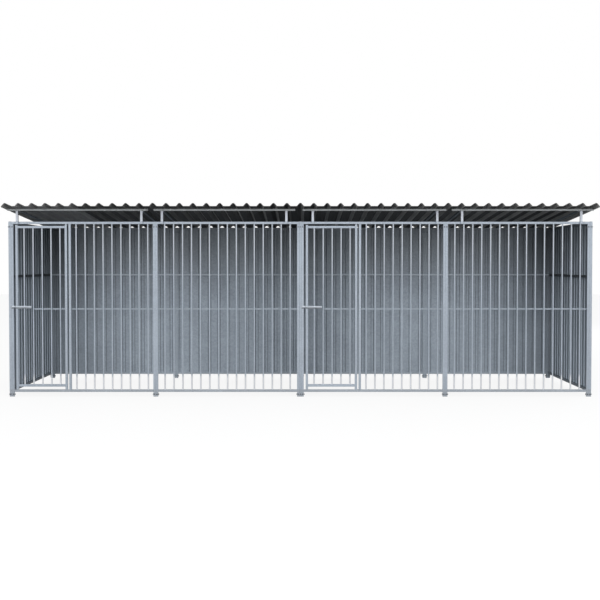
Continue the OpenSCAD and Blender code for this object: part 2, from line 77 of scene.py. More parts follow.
camera_data = bpy.data.cameras.new("front_camera")
camera_data.sensor_fit = "HORIZONTAL"
camera_data.lens = camera_data.sensor_width * FOCAL_PIXELS / IMAGE_SIDE
camera_data.clip_end = CAMERA_REACH
camera = into_scene("front_camera", camera_data)
camera.location = (0, front_face - CAMERA_DISTANCE, CAMERA_HEIGHT)
camera.rotation_euler = (math.pi / 2 - CAMERA_PITCH, 0, CAMERA_YAW)
bpy.context.scene.camera = camera
print("lens:", round(camera_data.lens, 2), "mm")

# %% [markdown]
# ## Wiring nodes with Python
# A material is a small network of nodes. Written node by node it is hard to read, so one class wraps
# a socket and turns `+ - * /` into Math nodes. Its `node` method adds any other node: the settings are
# set first, then the values and links of its inputs. Geometry networks are wired with the same class.

# %% A socket that can be calculated with
class Wire:
    """An output socket, or a whole tree where there is no socket yet."""

    def __init__(self, tree, socket=None):
        self.tree = tree
        self.socket = socket

    def node(self, kind, settings=None, inputs=None, out=0):
        """Adds a node. An input is a value, a Wire, or a list of Wires that all join one socket."""
        made = self.tree.nodes.new(kind)
        for name, value in (settings or {}).items():
            setattr(made, name, value)
        for name, value in (inputs or {}).items():
            for part in value if isinstance(value, list) else [value]:
                if isinstance(part, Wire):
                    self.tree.links.new(part.socket, made.inputs[name])
                else:
                    made.inputs[name].default_value = part
        return Wire(self.tree, made.outputs[out] if made.outputs else None)

    def maths(self, operation, first, second):
        return self.node("ShaderNodeMath", {"operation": operation}, {0: first, 1: second})

    def __add__(self, other):
        return self.maths("ADD", self, other)

    __radd__ = __add__

    def __sub__(self, other):
        return self.maths("SUBTRACT", self, other)

    def __rsub__(self, other):
        return self.maths("SUBTRACT", other, self)

    def __mul__(self, other):
        return self.maths("MULTIPLY", self, other)

    __rmul__ = __mul__

    def __truediv__(self, other):
        return self.maths("DIVIDE", self, other)

    def __rtruediv__(self, other):
        return self.maths("DIVIDE", other, self)


# %% [markdown]
# ## Patterns that the finishes share
# Every pattern reads Object coordinates, which are metres in the kennel's own frame, so a crystal of
# 8 mm is 8 mm on every piece and nothing slides when a door swings. `spread` scales the coordinates
# along each axis. A small number there draws a pattern out into streaks. `step` is a mask that rises
# from 0 to 1 between two values, and `blend` mixes two colours by a mask.

# %% Pattern helpers
MIX_FACTOR, MIX_FIRST, MIX_SECOND, MIX_COLOUR = 0, 6, 7, 2


def place(w, spread=(1, 1, 1)):
    coordinates = w.node("ShaderNodeTexCoord", out="Object")
    return w.node("ShaderNodeMapping", None, {"Vector": coordinates, "Scale": spread}, "Vector")


def normal_of(w):
    return w.node("ShaderNodeNewGeometry", out="Normal")


def axis_of(w, vector, axis):
    return w.node("ShaderNodeSeparateXYZ", None, {"Vector": vector}, axis)


def cloud(w, size, detail=3, spread=(1, 1, 1)):
    inputs = {"Vector": place(w, spread), "Scale": 1 / size, "Detail": detail}
    return w.node("ShaderNodeTexNoise", None, inputs, "Fac")


def spangle(w, size):
    inputs = {"Vector": place(w), "Scale": 1 / size, "Randomness": 1.0}
    colour = w.node("ShaderNodeTexVoronoi", None, inputs, "Color")
    return w.node("ShaderNodeSeparateColor", None, {"Color": colour}, "Red")


def step(w, value, low, high):
    inputs = {"Value": value, "From Min": low, "From Max": high}
    return w.node("ShaderNodeMapRange", {"interpolation_type": "SMOOTHSTEP"}, inputs, "Result")


def blend(w, factor, first, second):
    inputs = {MIX_FACTOR: factor}
    for socket, colour in ((MIX_FIRST, first), (MIX_SECOND, second)):
        inputs[socket] = (*colour, 1) if isinstance(colour, tuple) else colour
    return w.node("ShaderNodeMix", {"data_type": "RGBA"}, inputs, MIX_COLOUR)


def relief(w, height, depth, strength):
    inputs = {"Height": height, "Distance": depth, "Strength": strength}
    return w.node("ShaderNodeBump", None, inputs, "Normal")


# %% Making a finish
finishes = {}


def finish(name, build):
    """Keeps a material whose build function returns the Principled shader's inputs."""
    material = bpy.data.materials.new(name)
    material.use_nodes = True
    material.node_tree.nodes.clear()
    w = Wire(material.node_tree)
    shader = w.node("ShaderNodeBsdfPrincipled", None, build(w))
    w.node("ShaderNodeOutputMaterial", None, {"Surface": shader})
    finishes[name] = material
    print("finish:", name, "nodes:", len(material.node_tree.nodes))


# %% [markdown]
# ## Zinc crystals
# Zinc freezes on steel in crystals, so galvanised steel is not one grey: each crystal catches the light
# a little differently, a dull bloom lies over it in patches, and rain leaves faint streaks down it. A
# painted image would blur or repeat on six metres of kennel, so the pattern is computed: random cells
# make the crystals, slow noise makes the bloom, and drawn-out noise makes the streaks.

# %% Zinc crystals
ZINC_GRAIN = 0.0012
BLOOM_SIZE, BLOOM_LEVELS = 0.35, (0.42, 0.68)
STREAK_SIZE, STREAK_LEVELS, STREAK_SPREAD = 0.25, (0.5, 0.75), (9, 9, 0.7)
CRYSTAL_TONE, GRAIN_TONE, BLOOM_TONE, STREAK_TONE = 0.5, 0.25, 0.3, 0.15
CRYSTAL_HEIGHT, GRAIN_HEIGHT = 0.6, 0.4
ZINC_RELIEF = (0.0004, 0.25)
CRYSTAL_ROUGH, BLOOM_ROUGH = 0.10, 0.12


def crystals_of(w, crystal):
    """The crystals, the bloom, a tone with streaks in it too, and the height of the surface."""
    crystals = spangle(w, crystal)
    grain = cloud(w, ZINC_GRAIN, detail=2)
    bloom = step(w, cloud(w, BLOOM_SIZE, detail=4), *BLOOM_LEVELS)
    run_down = step(w, cloud(w, STREAK_SIZE, detail=3, spread=STREAK_SPREAD), *STREAK_LEVELS)
    tone = CRYSTAL_TONE * crystals + GRAIN_TONE * grain + BLOOM_TONE * bloom - STREAK_TONE * run_down
    return crystals, bloom, tone, crystals * CRYSTAL_HEIGHT + grain * GRAIN_HEIGHT


# %% [markdown]
# ## Dull zinc and painted shade inside the run
# What stands inside the run is duller than the front. It is painted a little lighter towards the middle of
# the run and darker towards its ends, as painted light and shade. It is also painted darker towards the roof
# and the outer corners, near the ends of the back wall and on the side walls towards the back, more so
# higher up: painted shade. All of that depends only on where a point lies, so masks on its coordinates
# place it, and no sheet has to be painted by hand.

# %% Painted shade inside the run
SHEET_LIGHT, SHEET_DARK = (0.35, 0.40, 0.455), (0.25, 0.287, 0.33)
# Painted shade: darker under the roof, towards the outer corners and where the walls meet.
ROOF_SHADE, CORNER_SHADE, PAINTED_SHADE = (0.185, 0.188, 0.190), (0.135, 0.158, 0.185), (0.010, 0.012, 0.014)
SIDE_WALL, BACK_WALL, WALL_SKIN = 3.005, 1.062, 0.004
# Painted light and shade: lighter in the middle of the run, darker towards its ends.
OUTER_PART, OUTER_PAINTED_SHADE = (0.5, 1.2), 0.2
ROOF_SHADE_HEIGHTS, ROOF_SHADE_SHARE = (0.89, 1.85), 0.37
CORNER_SHADE_REACH, CORNER_SHADE_SHARE = (2.0, 3.05), 0.40
WALL_SHADE_CORNERS, WALL_SHADE_HEIGHTS, SIDE_WALL_SHADE = (2.4, 3.1), (0.3, 1.85), 0.5
WALL_SHADE_LOW, WALL_SHADE_HIGH = 0.10, 0.50

RunMasks = namedtuple("RunMasks", "spot height off_centre side")


def run_masks(w):
    """The point, its height, its distance from the middle of the run, and 1 on the side walls."""
    spot = place(w)
    off_centre = w.node("ShaderNodeMath", {"operation": "ABSOLUTE"}, {0: axis_of(w, spot, "X")})
    side = step(w, off_centre, SIDE_WALL, SIDE_WALL + WALL_SKIN)
    return RunMasks(spot, axis_of(w, spot, "Z"), off_centre, side)


def dull_zinc(w, tone, off_centre):
    # Painted light towards the middle of the run, painted shade towards its ends.
    outer = step(w, off_centre, *OUTER_PART)
    return blend(w, tone - OUTER_PAINTED_SHADE * outer, SHEET_DARK, SHEET_LIGHT)


def with_painted_shade(w, zinc, run):
    # Painted shade under the roof, in the outer corners, near the back wall's ends and on the side walls.
    high = ROOF_SHADE_SHARE * step(w, run.height, *ROOF_SHADE_HEIGHTS)
    corner = CORNER_SHADE_SHARE * step(w, run.off_centre, *CORNER_SHADE_REACH)
    roof_and_corner_shade = blend(w, corner, blend(w, high, zinc, ROOF_SHADE), CORNER_SHADE)
    reach = (1 - run.side) * step(w, run.off_centre, *WALL_SHADE_CORNERS)
    reach = reach + SIDE_WALL_SHADE * run.side * step(w, axis_of(w, run.spot, "Y"), 0, BACK_WALL)
    wall_shade = reach * (WALL_SHADE_LOW + WALL_SHADE_HIGH * step(w, run.height, *WALL_SHADE_HEIGHTS))
    return blend(w, wall_shade, roof_and_corner_shade, PAINTED_SHADE)


# %% [markdown]
# ## Galvanised tubes
# The frames at the front are bright and bluish, and the roof frames on them are painted whiter, as painted
# light against the shade of the eave. The tubes are greyer at their feet. Inside the run the tubes are dull,
# but the faces that look outwards keep their spangle. The middle rail of the back wall has a painted
# highlight along its centre line, and the posts and middle rails of the side walls carry painted shade.
# The rafters over the run carry painted shade from the roof, except the two over the outer walls, which are
# a little lighter. A separate material for each tube would show a seam where two meet, so one material
# reads all this from the coordinates.

# %% Tubes inside the run
MID_RAIL, RAIL_HALF, RAIL_FADE = 1.255, 0.013, 0.001
# Painted shade on the posts and middle rails of the side walls.
SIDE_POST_SHADE, SIDE_RAIL_SHADE = 0.30, 0.60
# A name with TURN in it says between which values a face begins to count as turned that way.
BACK_TUBES, BACK_TURN = (BACK_WALL - 0.03, BACK_WALL - 0.02), (0.3, 0.6)
SIDE_TURN = (0.9, 1.8)


def sheltered_tube(w, tone):
    run = run_masks(w)
    shaded_zinc = with_painted_shade(w, dull_zinc(w, tone, run.off_centre), run)
    off_rail = run.height - MID_RAIL
    rail = 1 - step(w, off_rail * off_rail, RAIL_HALF ** 2, (RAIL_HALF + RAIL_FADE) ** 2)
    # Painted shade on the side walls' tubes, strongest on their middle rails.
    return blend(w, (SIDE_POST_SHADE + SIDE_RAIL_SHADE * rail) * run.side, shaded_zinc, PAINTED_SHADE)


def tube_outside(w):
    """1 on the faces of the side and back frames that look outwards, and 0 elsewhere."""
    spot = place(w)
    normal = normal_of(w)
    across = axis_of(w, spot, "X")
    at_side = step(w, across * across, SIDE_WALL ** 2, (SIDE_WALL + WALL_SKIN) ** 2)
    at_back = step(w, axis_of(w, spot, "Y"), *BACK_TUBES)
    to_side = step(w, axis_of(w, normal, "X") * across, *SIDE_TURN)
    to_back = step(w, axis_of(w, normal, "Y"), *BACK_TURN)
    return w.maths("MAXIMUM", at_side * to_side, at_back * to_back)


# %% Galvanised tube
TUBE_LIGHT, TUBE_DARK = (0.535, 0.60, 0.68), (0.395, 0.445, 0.51)
TUBE_CRYSTAL, TUBE_METAL, TUBE_ROUGH, INSIDE_ROUGH = 0.008, 0.85, 0.30, 0.15
INSIDE = (-0.90, -0.80)
SHARP = 0.002
# Painted light: the roof frames are whiter against the shade of the eave.
ROOF_FRAME_PAINTED_LIGHT, ROOF_FRAME_FOOT = (0.62, 0.655, 0.72), 1.827
TUBE_FOOT_GREY, TUBE_FOOT_TOP, TUBE_FOOT_SHARE = (0.36, 0.35, 0.34), 0.078, 0.25
# Painted highlight along the centre line of the back wall's middle rail.
RAIL_HIGHLIGHT_CORE, RAIL_HIGHLIGHT_EDGE, RAIL_HIGHLIGHT_SHARE = 0.004, 0.009, 0.40
BACK_RAILS = (BACK_WALL - 0.06, BACK_WALL - 0.03)
# Painted shade on the rafters under the roof. The two outer rafters are a little lighter.
RAFTER_FOOT, RAFTER_SHADE = 1.829, 0.55
INNER_RAFTERS, OUTER_RAFTERS, OUTER_RAFTER_SHARE = 2.4, 2.6, 0.22


def front_tube(w, tone, height):
    # Painted light on the roof frames.
    roof_frame = step(w, height, ROOF_FRAME_FOOT, ROOF_FRAME_FOOT + SHARP)
    tube_foot = 1 - step(w, height, TUBE_FOOT_TOP - SHARP, TUBE_FOOT_TOP)
    bright = blend(w, roof_frame, blend(w, tone, TUBE_DARK, TUBE_LIGHT), ROOF_FRAME_PAINTED_LIGHT)
    return blend(w, TUBE_FOOT_SHARE * tube_foot, bright, TUBE_FOOT_GREY)


def inner_tube(w, tone, across, depth, height):
    off_rail = height - MID_RAIL
    # Painted highlight along the back wall's middle rail.
    core = 1 - step(w, off_rail * off_rail, RAIL_HIGHLIGHT_CORE ** 2, RAIL_HIGHLIGHT_EDGE ** 2)
    rail_highlight = core * step(w, depth, *BACK_RAILS)
    dull = blend(w, RAIL_HIGHLIGHT_SHARE * rail_highlight, sheltered_tube(w, tone), TUBE_LIGHT)
    inner = 1 - step(w, across * across, INNER_RAFTERS ** 2, OUTER_RAFTERS ** 2)
    # Painted shade on the rafters under the roof.
    rafter = step(w, height, RAFTER_FOOT, RAFTER_FOOT + SHARP)
    dull = blend(w, RAFTER_SHADE * rafter * inner, dull, PAINTED_SHADE)
    return blend(w, OUTER_RAFTER_SHARE * rafter * (1 - inner), dull, TUBE_LIGHT)


def zinc_tube(w):
    crystals, bloom, tone, surface = crystals_of(w, TUBE_CRYSTAL)
    spot = place(w)
    across, depth, height = [axis_of(w, spot, axis) for axis in "XYZ"]
    inside = step(w, depth, *INSIDE) * (1 - tube_outside(w))
    dull = inner_tube(w, tone, across, depth, height)
    return {
        "Base Color": blend(w, inside, front_tube(w, tone, height), dull),
        "Metallic": TUBE_METAL - TUBE_METAL * inside,
        "Roughness": TUBE_ROUGH + CRYSTAL_ROUGH * crystals + BLOOM_ROUGH * bloom + INSIDE_ROUGH * inside,
        "Normal": relief(w, surface, *ZINC_RELIEF),
    }


finish("galvanised_tube", zinc_tube)

# %% [markdown]
# ## Galvanised bars
# The bars are the same zinc as the tubes. They are painted lighter at their feet and a little lighter
# towards the roof, as painted light. The flat strip that runs behind them is dull. The bars' finish
# therefore starts from the tubes' inputs and only changes their colour.

# %% Galvanised bars
# Painted light on the bars' feet and upper parts.
BAR_PAINTED_LIGHT = (0.84, 0.86, 0.89)
LIGHT_FOOT, LIGHT_FOOT_SHARE = (0.19, 0.25), 0.95
LIGHT_TOP, LIGHT_TOP_SHARE = (1.0, 1.7), 0.30
STRIP_FRONT, STRIP_SHARE = -0.911, 0.50
HAIR = 0.0002


def zinc_bar(w):
    inputs = zinc_tube(w)
    height = axis_of(w, place(w), "Z")
    # Painted light at the bars' feet and towards the roof.
    foot = 1 - step(w, height, *LIGHT_FOOT)
    bar_light = LIGHT_FOOT_SHARE * foot + LIGHT_TOP_SHARE * step(w, height, *LIGHT_TOP)
    strip = step(w, axis_of(w, place(w), "Y"), STRIP_FRONT - HAIR, STRIP_FRONT)
    inputs["Base Color"] = blend(w, bar_light, inputs["Base Color"], BAR_PAINTED_LIGHT)
    inputs["Base Color"] = blend(w, STRIP_SHARE * strip, inputs["Base Color"], SHEET_DARK)
    return inputs


finish("galvanised_bar", zinc_bar)

# %% [markdown]
# ## Ribbed sheets
# The wall sheets have larger crystals and a matt skin. On the side walls the slanting flanks of the ribs
# carry painted light, more of it low down, and the flat parts carry painted shade, less of it low down.
# On the back wall the flanks carry painted shade instead. Which part of a rib a point is on shows in its
# normal, so the normal sorts flanks from flats. The outsides of the walls are washed by the rain and keep
# a brighter, smoother zinc.

# %% Ribbed sheets
WEATHER_LIGHT, WEATHER_DARK = (0.52, 0.57, 0.63), (0.34, 0.38, 0.43)
# Painted light on the side walls' rib flanks and painted shade on their flats.
SIDE_FLANK_LIGHT, SIDE_FLAT_SHADE = (0.65, 0.75, 0.85), (0.062, 0.074, 0.088)
SHEET_CRYSTAL, SHEET_ROUGH, SHEET_SPECULAR = 0.018, 0.48, 0.2
WEATHER_METAL, WEATHER_SMOOTH = 0.6, 0.12
LOW_PART = (0.3, 1.5)
FLANK_LIGHT_SHARE, FLANK_LIGHT_MORE_LOW = 0.5, 0.4
FLAT_SHADE_SHARE, FLAT_SHADE_LESS_LOW = 0.5, 0.4
FLAT_TURN = (0.80, 0.95)
# Painted shade on the back wall's rib flanks.
FLANK_TURN, BACK_FLANK_SHADE_SHARE = (0.05, 0.15), 0.42
SHEET_SIDE_TURN, SHEET_BACK_TURN = (0.2, 0.6), (0.1, 0.3)


def sheltered_sheet(w, tone):
    run = run_masks(w)
    normal = normal_of(w)
    sideways = axis_of(w, normal, "X")
    flat = step(w, sideways * sideways, *FLAT_TURN)
    low = 1 - step(w, run.height, *LOW_PART)
    # Painted light on the side walls' rib flanks, painted shade on their flats and on the back wall's
    # flanks.
    flank_light = (FLANK_LIGHT_SHARE + FLANK_LIGHT_MORE_LOW * low) * run.side * (1 - flat)
    zinc = blend(w, flank_light, dull_zinc(w, tone, run.off_centre), SIDE_FLANK_LIGHT)
    slant = sideways * axis_of(w, normal, "Y")
    flank = step(w, slant * slant, *FLANK_TURN)
    flank_shaded = blend(w, BACK_FLANK_SHADE_SHARE * flank * (1 - run.side), with_painted_shade(w, zinc, run), PAINTED_SHADE)
    return blend(w, (FLAT_SHADE_SHARE - FLAT_SHADE_LESS_LOW * low) * run.side * flat, flank_shaded, SIDE_FLAT_SHADE)


def weather_side(w):
    """1 on the faces of the side and back sheets that look outwards, and 0 elsewhere."""
    run = run_masks(w)
    normal = normal_of(w)
    back = (1 - run.side) * step(w, axis_of(w, run.spot, "Y"), BACK_WALL, BACK_WALL + WALL_SKIN)
    side_out = step(w, axis_of(w, normal, "X") * axis_of(w, run.spot, "X"), *SHEET_SIDE_TURN)
    return run.side * side_out + back * step(w, axis_of(w, normal, "Y"), *SHEET_BACK_TURN)


def zinc_sheet(w):
    crystals, bloom, tone, surface = crystals_of(w, SHEET_CRYSTAL)
    weather = weather_side(w)
    washed = blend(w, tone, WEATHER_DARK, WEATHER_LIGHT)
    return {
        "Base Color": blend(w, weather, sheltered_sheet(w, tone), washed),
        "Metallic": WEATHER_METAL * weather,
        "Roughness": SHEET_ROUGH + CRYSTAL_ROUGH * crystals + BLOOM_ROUGH * bloom - WEATHER_SMOOTH * weather,
        "Specular IOR Level": SHEET_SPECULAR,
        "Normal": relief(w, surface, *ZINC_RELIEF),
    }


finish("galvanised_sheet", zinc_sheet)

# %% [markdown]
# ## The black roof
# The roof sheet is coated in a matt black with a fine orange-peel grain, over a charcoal backing coat
# that shows from below. Dust settles on it and rain draws it out down the slope. From below, the flanks
# of the ribs carry painted light: all those that face the left, and over the left half also those that
# face the right. That draws a pale stripe along every rib. The strips at the two ends are greyer. Strips
# and stripes are masks in one material, because each roof sheet is a single piece.

# %% Black roof
ROOF_BLACK, ROOF_GREY = (0.003, 0.003, 0.003), (0.066, 0.066, 0.066)
BACKING, PALE_BACKING = (0.042, 0.041, 0.040), (0.50, 0.49, 0.48)
# Painted light on the rib flanks of the roof's underside.
UNDER_FLANK_LIGHT, LEFT_FLANK_LIGHT, RIGHT_FLANK_LIGHT = (0.62, 0.60, 0.57), 0.75, 0.30
COAT_GRAIN, COAT_RELIEF, COAT_SPECULAR = 0.0016, (0.0004, 0.35), 0.1
COAT_ROUGH, DUST_ROUGH, GRAIN_ROUGH = 0.55, 0.18, 0.10
DUST_SIZE, DUST_SPREAD, DUST_LEVELS = 0.30, (5, 0.5, 5), (0.45, 0.8)
COAT_DUST, BACKING_DUST = 0.25, 0.10
LEFT_END, LEFT_END_BELOW, RIGHT_END, END_FADE = -2.21, -2.29, 1.86, 0.01
LEFT_GREY, RIGHT_GREY, LEFT_PALE, TOP_DIMMING = 0.8, 0.4, 0.8, 0.85
TOP_TURN, BELOW_TURN = (0.2, 0.5), (-0.5, -0.2)
LEFT_TURN, RIGHT_TURN, LEFT_HALF = (-0.5, -0.15), (0.15, 0.5), (-1.2, -0.2)


def roof_top(w, dust, across, upwards):
    left_end = 1 - step(w, across, LEFT_END - END_FADE, LEFT_END)
    right_end = step(w, across, RIGHT_END, RIGHT_END + END_FADE)
    dimmed = 1 - TOP_DIMMING * step(w, upwards, *TOP_TURN)
    ends = (LEFT_GREY * left_end + RIGHT_GREY * right_end) * dimmed
    return blend(w, COAT_DUST * dust + ends, ROOF_BLACK, ROOF_GREY)


def roof_underside(w, dust, across, sideways):
    left_end = 1 - step(w, across, LEFT_END_BELOW - END_FADE, LEFT_END_BELOW)
    backing = blend(w, BACKING_DUST * dust + LEFT_PALE * left_end, BACKING, PALE_BACKING)
    # Painted light on the flanks of the ribs.
    to_the_left = 1 - step(w, sideways, *LEFT_TURN)
    to_the_right = step(w, sideways, *RIGHT_TURN) * (1 - step(w, across, *LEFT_HALF))
    return blend(w, LEFT_FLANK_LIGHT * to_the_left + RIGHT_FLANK_LIGHT * to_the_right, backing, UNDER_FLANK_LIGHT)


def black_coat(w):
    grain = cloud(w, COAT_GRAIN, detail=2)
    dust = step(w, cloud(w, DUST_SIZE, detail=4, spread=DUST_SPREAD), *DUST_LEVELS)
    across = axis_of(w, place(w), "X")
    normal = normal_of(w)
    sideways, upwards = axis_of(w, normal, "X"), axis_of(w, normal, "Z")
    below = 1 - step(w, upwards, *BELOW_TURN)
    top = roof_top(w, dust, across, upwards)
    return {
        "Base Color": blend(w, below, top, roof_underside(w, dust, across, sideways)),
        "Roughness": COAT_ROUGH + DUST_ROUGH * dust + GRAIN_ROUGH * grain,
        "Specular IOR Level": COAT_SPECULAR,
        "Normal": relief(w, grain, *COAT_RELIEF),
    }


finish("black_roof", black_coat)

# %% [markdown]
# ## Purlins and panel bolts
# The purlins are plain dull tube, and the panel bolts have gone dull in the rain. Both are patchy grey
# metal, so one function makes both from two greys, a share of metal and a roughness.

# %% Dull steel
PATCH_SIZE, PATCH_LEVELS, PATCH_SHARE, PATCH_ROUGH = 0.06, (0.35, 0.7), 0.7, 0.15
STEEL_GRAIN, STEEL_GRAIN_SHARE, STEEL_RELIEF = 0.0009, 0.3, (0.0003, 0.2)
PURLIN_LIGHT, PURLIN_DARK, PURLIN_METAL, PURLIN_ROUGH = (0.56, 0.59, 0.60), (0.43, 0.455, 0.465), 0.6, 0.36
BOLT_LIGHT, BOLT_DARK, BOLT_METAL, BOLT_ROUGH = (0.20, 0.21, 0.22), (0.10, 0.105, 0.11), 0.5, 0.35


def dull_steel(light, dark, metal, rough):
    def build(w):
        patches = step(w, cloud(w, PATCH_SIZE, detail=4), *PATCH_LEVELS)
        grain = cloud(w, STEEL_GRAIN, detail=2)
        return {
            "Base Color": blend(w, PATCH_SHARE * patches + STEEL_GRAIN_SHARE * grain, dark, light),
            "Metallic": metal,
            "Roughness": rough + PATCH_ROUGH * patches,
            "Normal": relief(w, grain, *STEEL_RELIEF),
        }
    return build


finish("grey_purlin", dull_steel(PURLIN_LIGHT, PURLIN_DARK, PURLIN_METAL, PURLIN_ROUGH))
finish("dull_fixing", dull_steel(BOLT_LIGHT, BOLT_DARK, BOLT_METAL, BOLT_ROUGH))

# %% [markdown]
# ## Latches and pivots
# The latches and pivots are plated with bright zinc over drawn steel, so they have a fine grain along
# their length: noise that is stretched sideways. The latch plates carry a painted shadow of the sliding
# rods below them, in front of the frames' face, which is what the height and depth masks pick out.

# %% Bright zinc
# Painted shadow of the sliding rod on the latch plate below it.
PLATE_LIGHT, PLATE_DARK, ROD_SHADOW = (0.57, 0.615, 0.67), (0.42, 0.46, 0.51), (0.10, 0.11, 0.12)
DRAWN_LINE, DRAWN_SPREAD, DRAWN_PATCH = 0.0012, (0.06, 1, 1), 0.03
LINE_SHARE, DRAWN_PATCH_SHARE = 0.6, 0.4
LATCH_LOW, LATCH_TOP, ROD_SHADOW_SHARE = 0.90, 0.9295, 0.8
PLATE_METAL, PLATE_ROUGH, LINE_ROUGH, PLATE_RELIEF = 0.6, 0.22, 0.16, (0.0002, 0.2)


def drawn_zinc(w):
    lines = cloud(w, DRAWN_LINE, detail=2, spread=DRAWN_SPREAD)
    patches = cloud(w, DRAWN_PATCH, detail=3)
    zinc = blend(w, LINE_SHARE * lines + DRAWN_PATCH_SHARE * patches, PLATE_DARK, PLATE_LIGHT)
    height = axis_of(w, place(w), "Z")
    # Painted shadow of the rod on the plate below it.
    above_edge = step(w, height, LATCH_LOW - SHARP, LATCH_LOW)
    under_rod = above_edge * (1 - step(w, height, LATCH_TOP - SHARP, LATCH_TOP))
    in_front = 1 - step(w, axis_of(w, place(w), "Y"), front_face - HAIR, front_face)
    return {
        "Base Color": blend(w, ROD_SHADOW_SHARE * under_rod * in_front, zinc, ROD_SHADOW),
        "Metallic": PLATE_METAL,
        "Roughness": PLATE_ROUGH + LINE_ROUGH * lines,
        "Normal": relief(w, lines, *PLATE_RELIEF),
    }


finish("bright_zinc", drawn_zinc)

# %% [markdown]
# ## Feet and plugs
# The foot pads and the plugs in the tube ends are moulded plastic. A fine speckle gives the moulded
# skin, and patches of scuffs are lighter and rougher. The pads are paler than the plugs.

# %% Moulded plastic
SPECKLE, SPECKLE_SHARE, MOULD_RELIEF = 0.0022, 0.3, (0.0003, 0.3)
SCUFF_SIZE, SCUFF_LEVELS, SCUFF_SHARE = 0.02, (0.5, 0.75), 0.6
MOULD_ROUGH, SCUFF_ROUGH = 0.48, 0.2
FOOT_LIGHT, FOOT_DARK = (0.46, 0.48, 0.49), (0.34, 0.36, 0.37)
PLUG_LIGHT, PLUG_DARK = (0.34, 0.37, 0.40), (0.24, 0.26, 0.29)


def moulded(light, dark):
    def build(w):
        speckle = cloud(w, SPECKLE, detail=2)
        scuffs = step(w, cloud(w, SCUFF_SIZE, detail=4), *SCUFF_LEVELS)
        return {
            "Base Color": blend(w, SCUFF_SHARE * scuffs + SPECKLE_SHARE * speckle, dark, light),
            "Roughness": MOULD_ROUGH + SCUFF_ROUGH * scuffs,
            "Normal": relief(w, speckle, *MOULD_RELIEF),
        }
    return build


finish("grey_foot", moulded(FOOT_LIGHT, FOOT_DARK))
finish("grey_plastic", moulded(PLUG_LIGHT, PLUG_DARK))

# %% [markdown]
# ## Finishing the frame
# The frame's record names a material slot for every node, and each slot has its finish by now. A node
# keeps its mesh and only gets a new material.

# %% Finish every node
for part in frame["record"]["subparts"]:
    node = nodes[part["node"]]
    node.data.materials.clear()
    node.data.materials.append(finishes[part["material_slot"]])

# %% [markdown]
# ## Finding the tubes again
# A node such as a front frame holds several tubes. Their mesh is loose triangles, so a copy is merged
# and walked from vertex to vertex, which gives the box of each separate tube. Every weld then has a place.

# %% Boxes of the separate tubes in a node
MERGE = 1e-6


def solids(node):
    mesh = bmesh.new()
    mesh.from_mesh(nodes[node].data)
    bmesh.ops.remove_doubles(mesh, verts=mesh.verts, dist=MERGE)
    waiting = set(mesh.verts)
    found = []
    while waiting:
        edge_of_search = [waiting.pop()]
        low, high = edge_of_search[0].co.copy(), edge_of_search[0].co.copy()
        while edge_of_search:
            vertex = edge_of_search.pop()
            low = Vector(map(min, low, vertex.co))
            high = Vector(map(max, high, vertex.co))
            for link in vertex.link_edges:
                other = link.other_vert(vertex)
                if other in waiting:
                    waiting.remove(other)
                    edge_of_search.append(other)
        found.append((low, high))
    mesh.free()
    return found


# %% [markdown]
# ## Copies at points
# Hundreds of beads, rivets and screws could be separate objects, but Geometry Nodes put one small shape at
# many points in one go. The points carry the direction that each copy faces. The tree ends in Realize
# Instances and Set Material, and the result becomes one plain mesh that rides on one body of the frame.

# %% Geometry tree and copies
def repeat_tree(name, sizes, shape):
    """A tree with named sizes, which puts a shape at every point and turns it to the point's facing."""
    tree = bpy.data.node_groups.new(name, "GeometryNodeTree")
    sockets = tree.interface
    sockets.new_socket("Points", in_out="INPUT", socket_type="NodeSocketGeometry")
    for size in sizes:
        sockets.new_socket(size, in_out="INPUT", socket_type="NodeSocketFloat")
    sockets.new_socket("Finish", in_out="INPUT", socket_type="NodeSocketMaterial")
    sockets.new_socket("Mesh", in_out="OUTPUT", socket_type="NodeSocketGeometry")
    w = Wire(tree)
    given_node = tree.nodes.new("NodeGroupInput")
    given = {socket: Wire(tree, given_node.outputs[socket]) for socket in ["Points", *sizes, "Finish"]}
    facing = w.node("GeometryNodeInputNamedAttribute", {"data_type": "FLOAT_VECTOR"},
                    {"Name": "facing"}, "Attribute")
    turn = w.node("FunctionNodeAlignRotationToVector", {"axis": "Z"}, {"Vector": facing})
    copies = w.node("GeometryNodeInstanceOnPoints", None, {
        "Points": given["Points"], "Instance": shape(w, given), "Rotation": turn})
    real = w.node("GeometryNodeRealizeInstances", None, {"Geometry": copies})
    done = w.node("GeometryNodeSetMaterial", None, {"Geometry": real, "Material": given["Finish"]})
    w.node("NodeGroupOutput", None, {"Mesh": done})
    print("tree:", tree.name, "nodes:", len(tree.nodes))
    return tree


def copies_at(name, tree, sizes, spots, body, slot):
    """spots is a list of (place, facing). Makes one mesh of real copies that rides on the body."""
    mesh = bpy.data.meshes.new(name + "_points")
    mesh.from_pydata([spot for spot, facing in spots], [], [])
    facings = mesh.attributes.new("facing", "FLOAT_VECTOR", "POINT")
    facings.data.foreach_set("vector", [v for spot, facing in spots for v in facing])
    holder = into_scene(name + "_points", mesh)
    modifier = holder.modifiers.new("Copies", "NODES")
    modifier.node_group = tree
    values = {**sizes, "Finish": finishes[slot]}
    for socket in tree.interface.items_tree:
        if socket.in_out == "INPUT" and socket.name in values:
            modifier[socket.identifier] = values[socket.name]
    evaluated = holder.evaluated_get(bpy.context.evaluated_depsgraph_get())
    copies = bpy.data.meshes.new_from_object(evaluated)
    bpy.data.objects.remove(holder)
    piece = into_scene(name, copies)
    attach(piece, body)
    print(name, "copies:", len(spots), "faces:", len(piece.data.polygons))


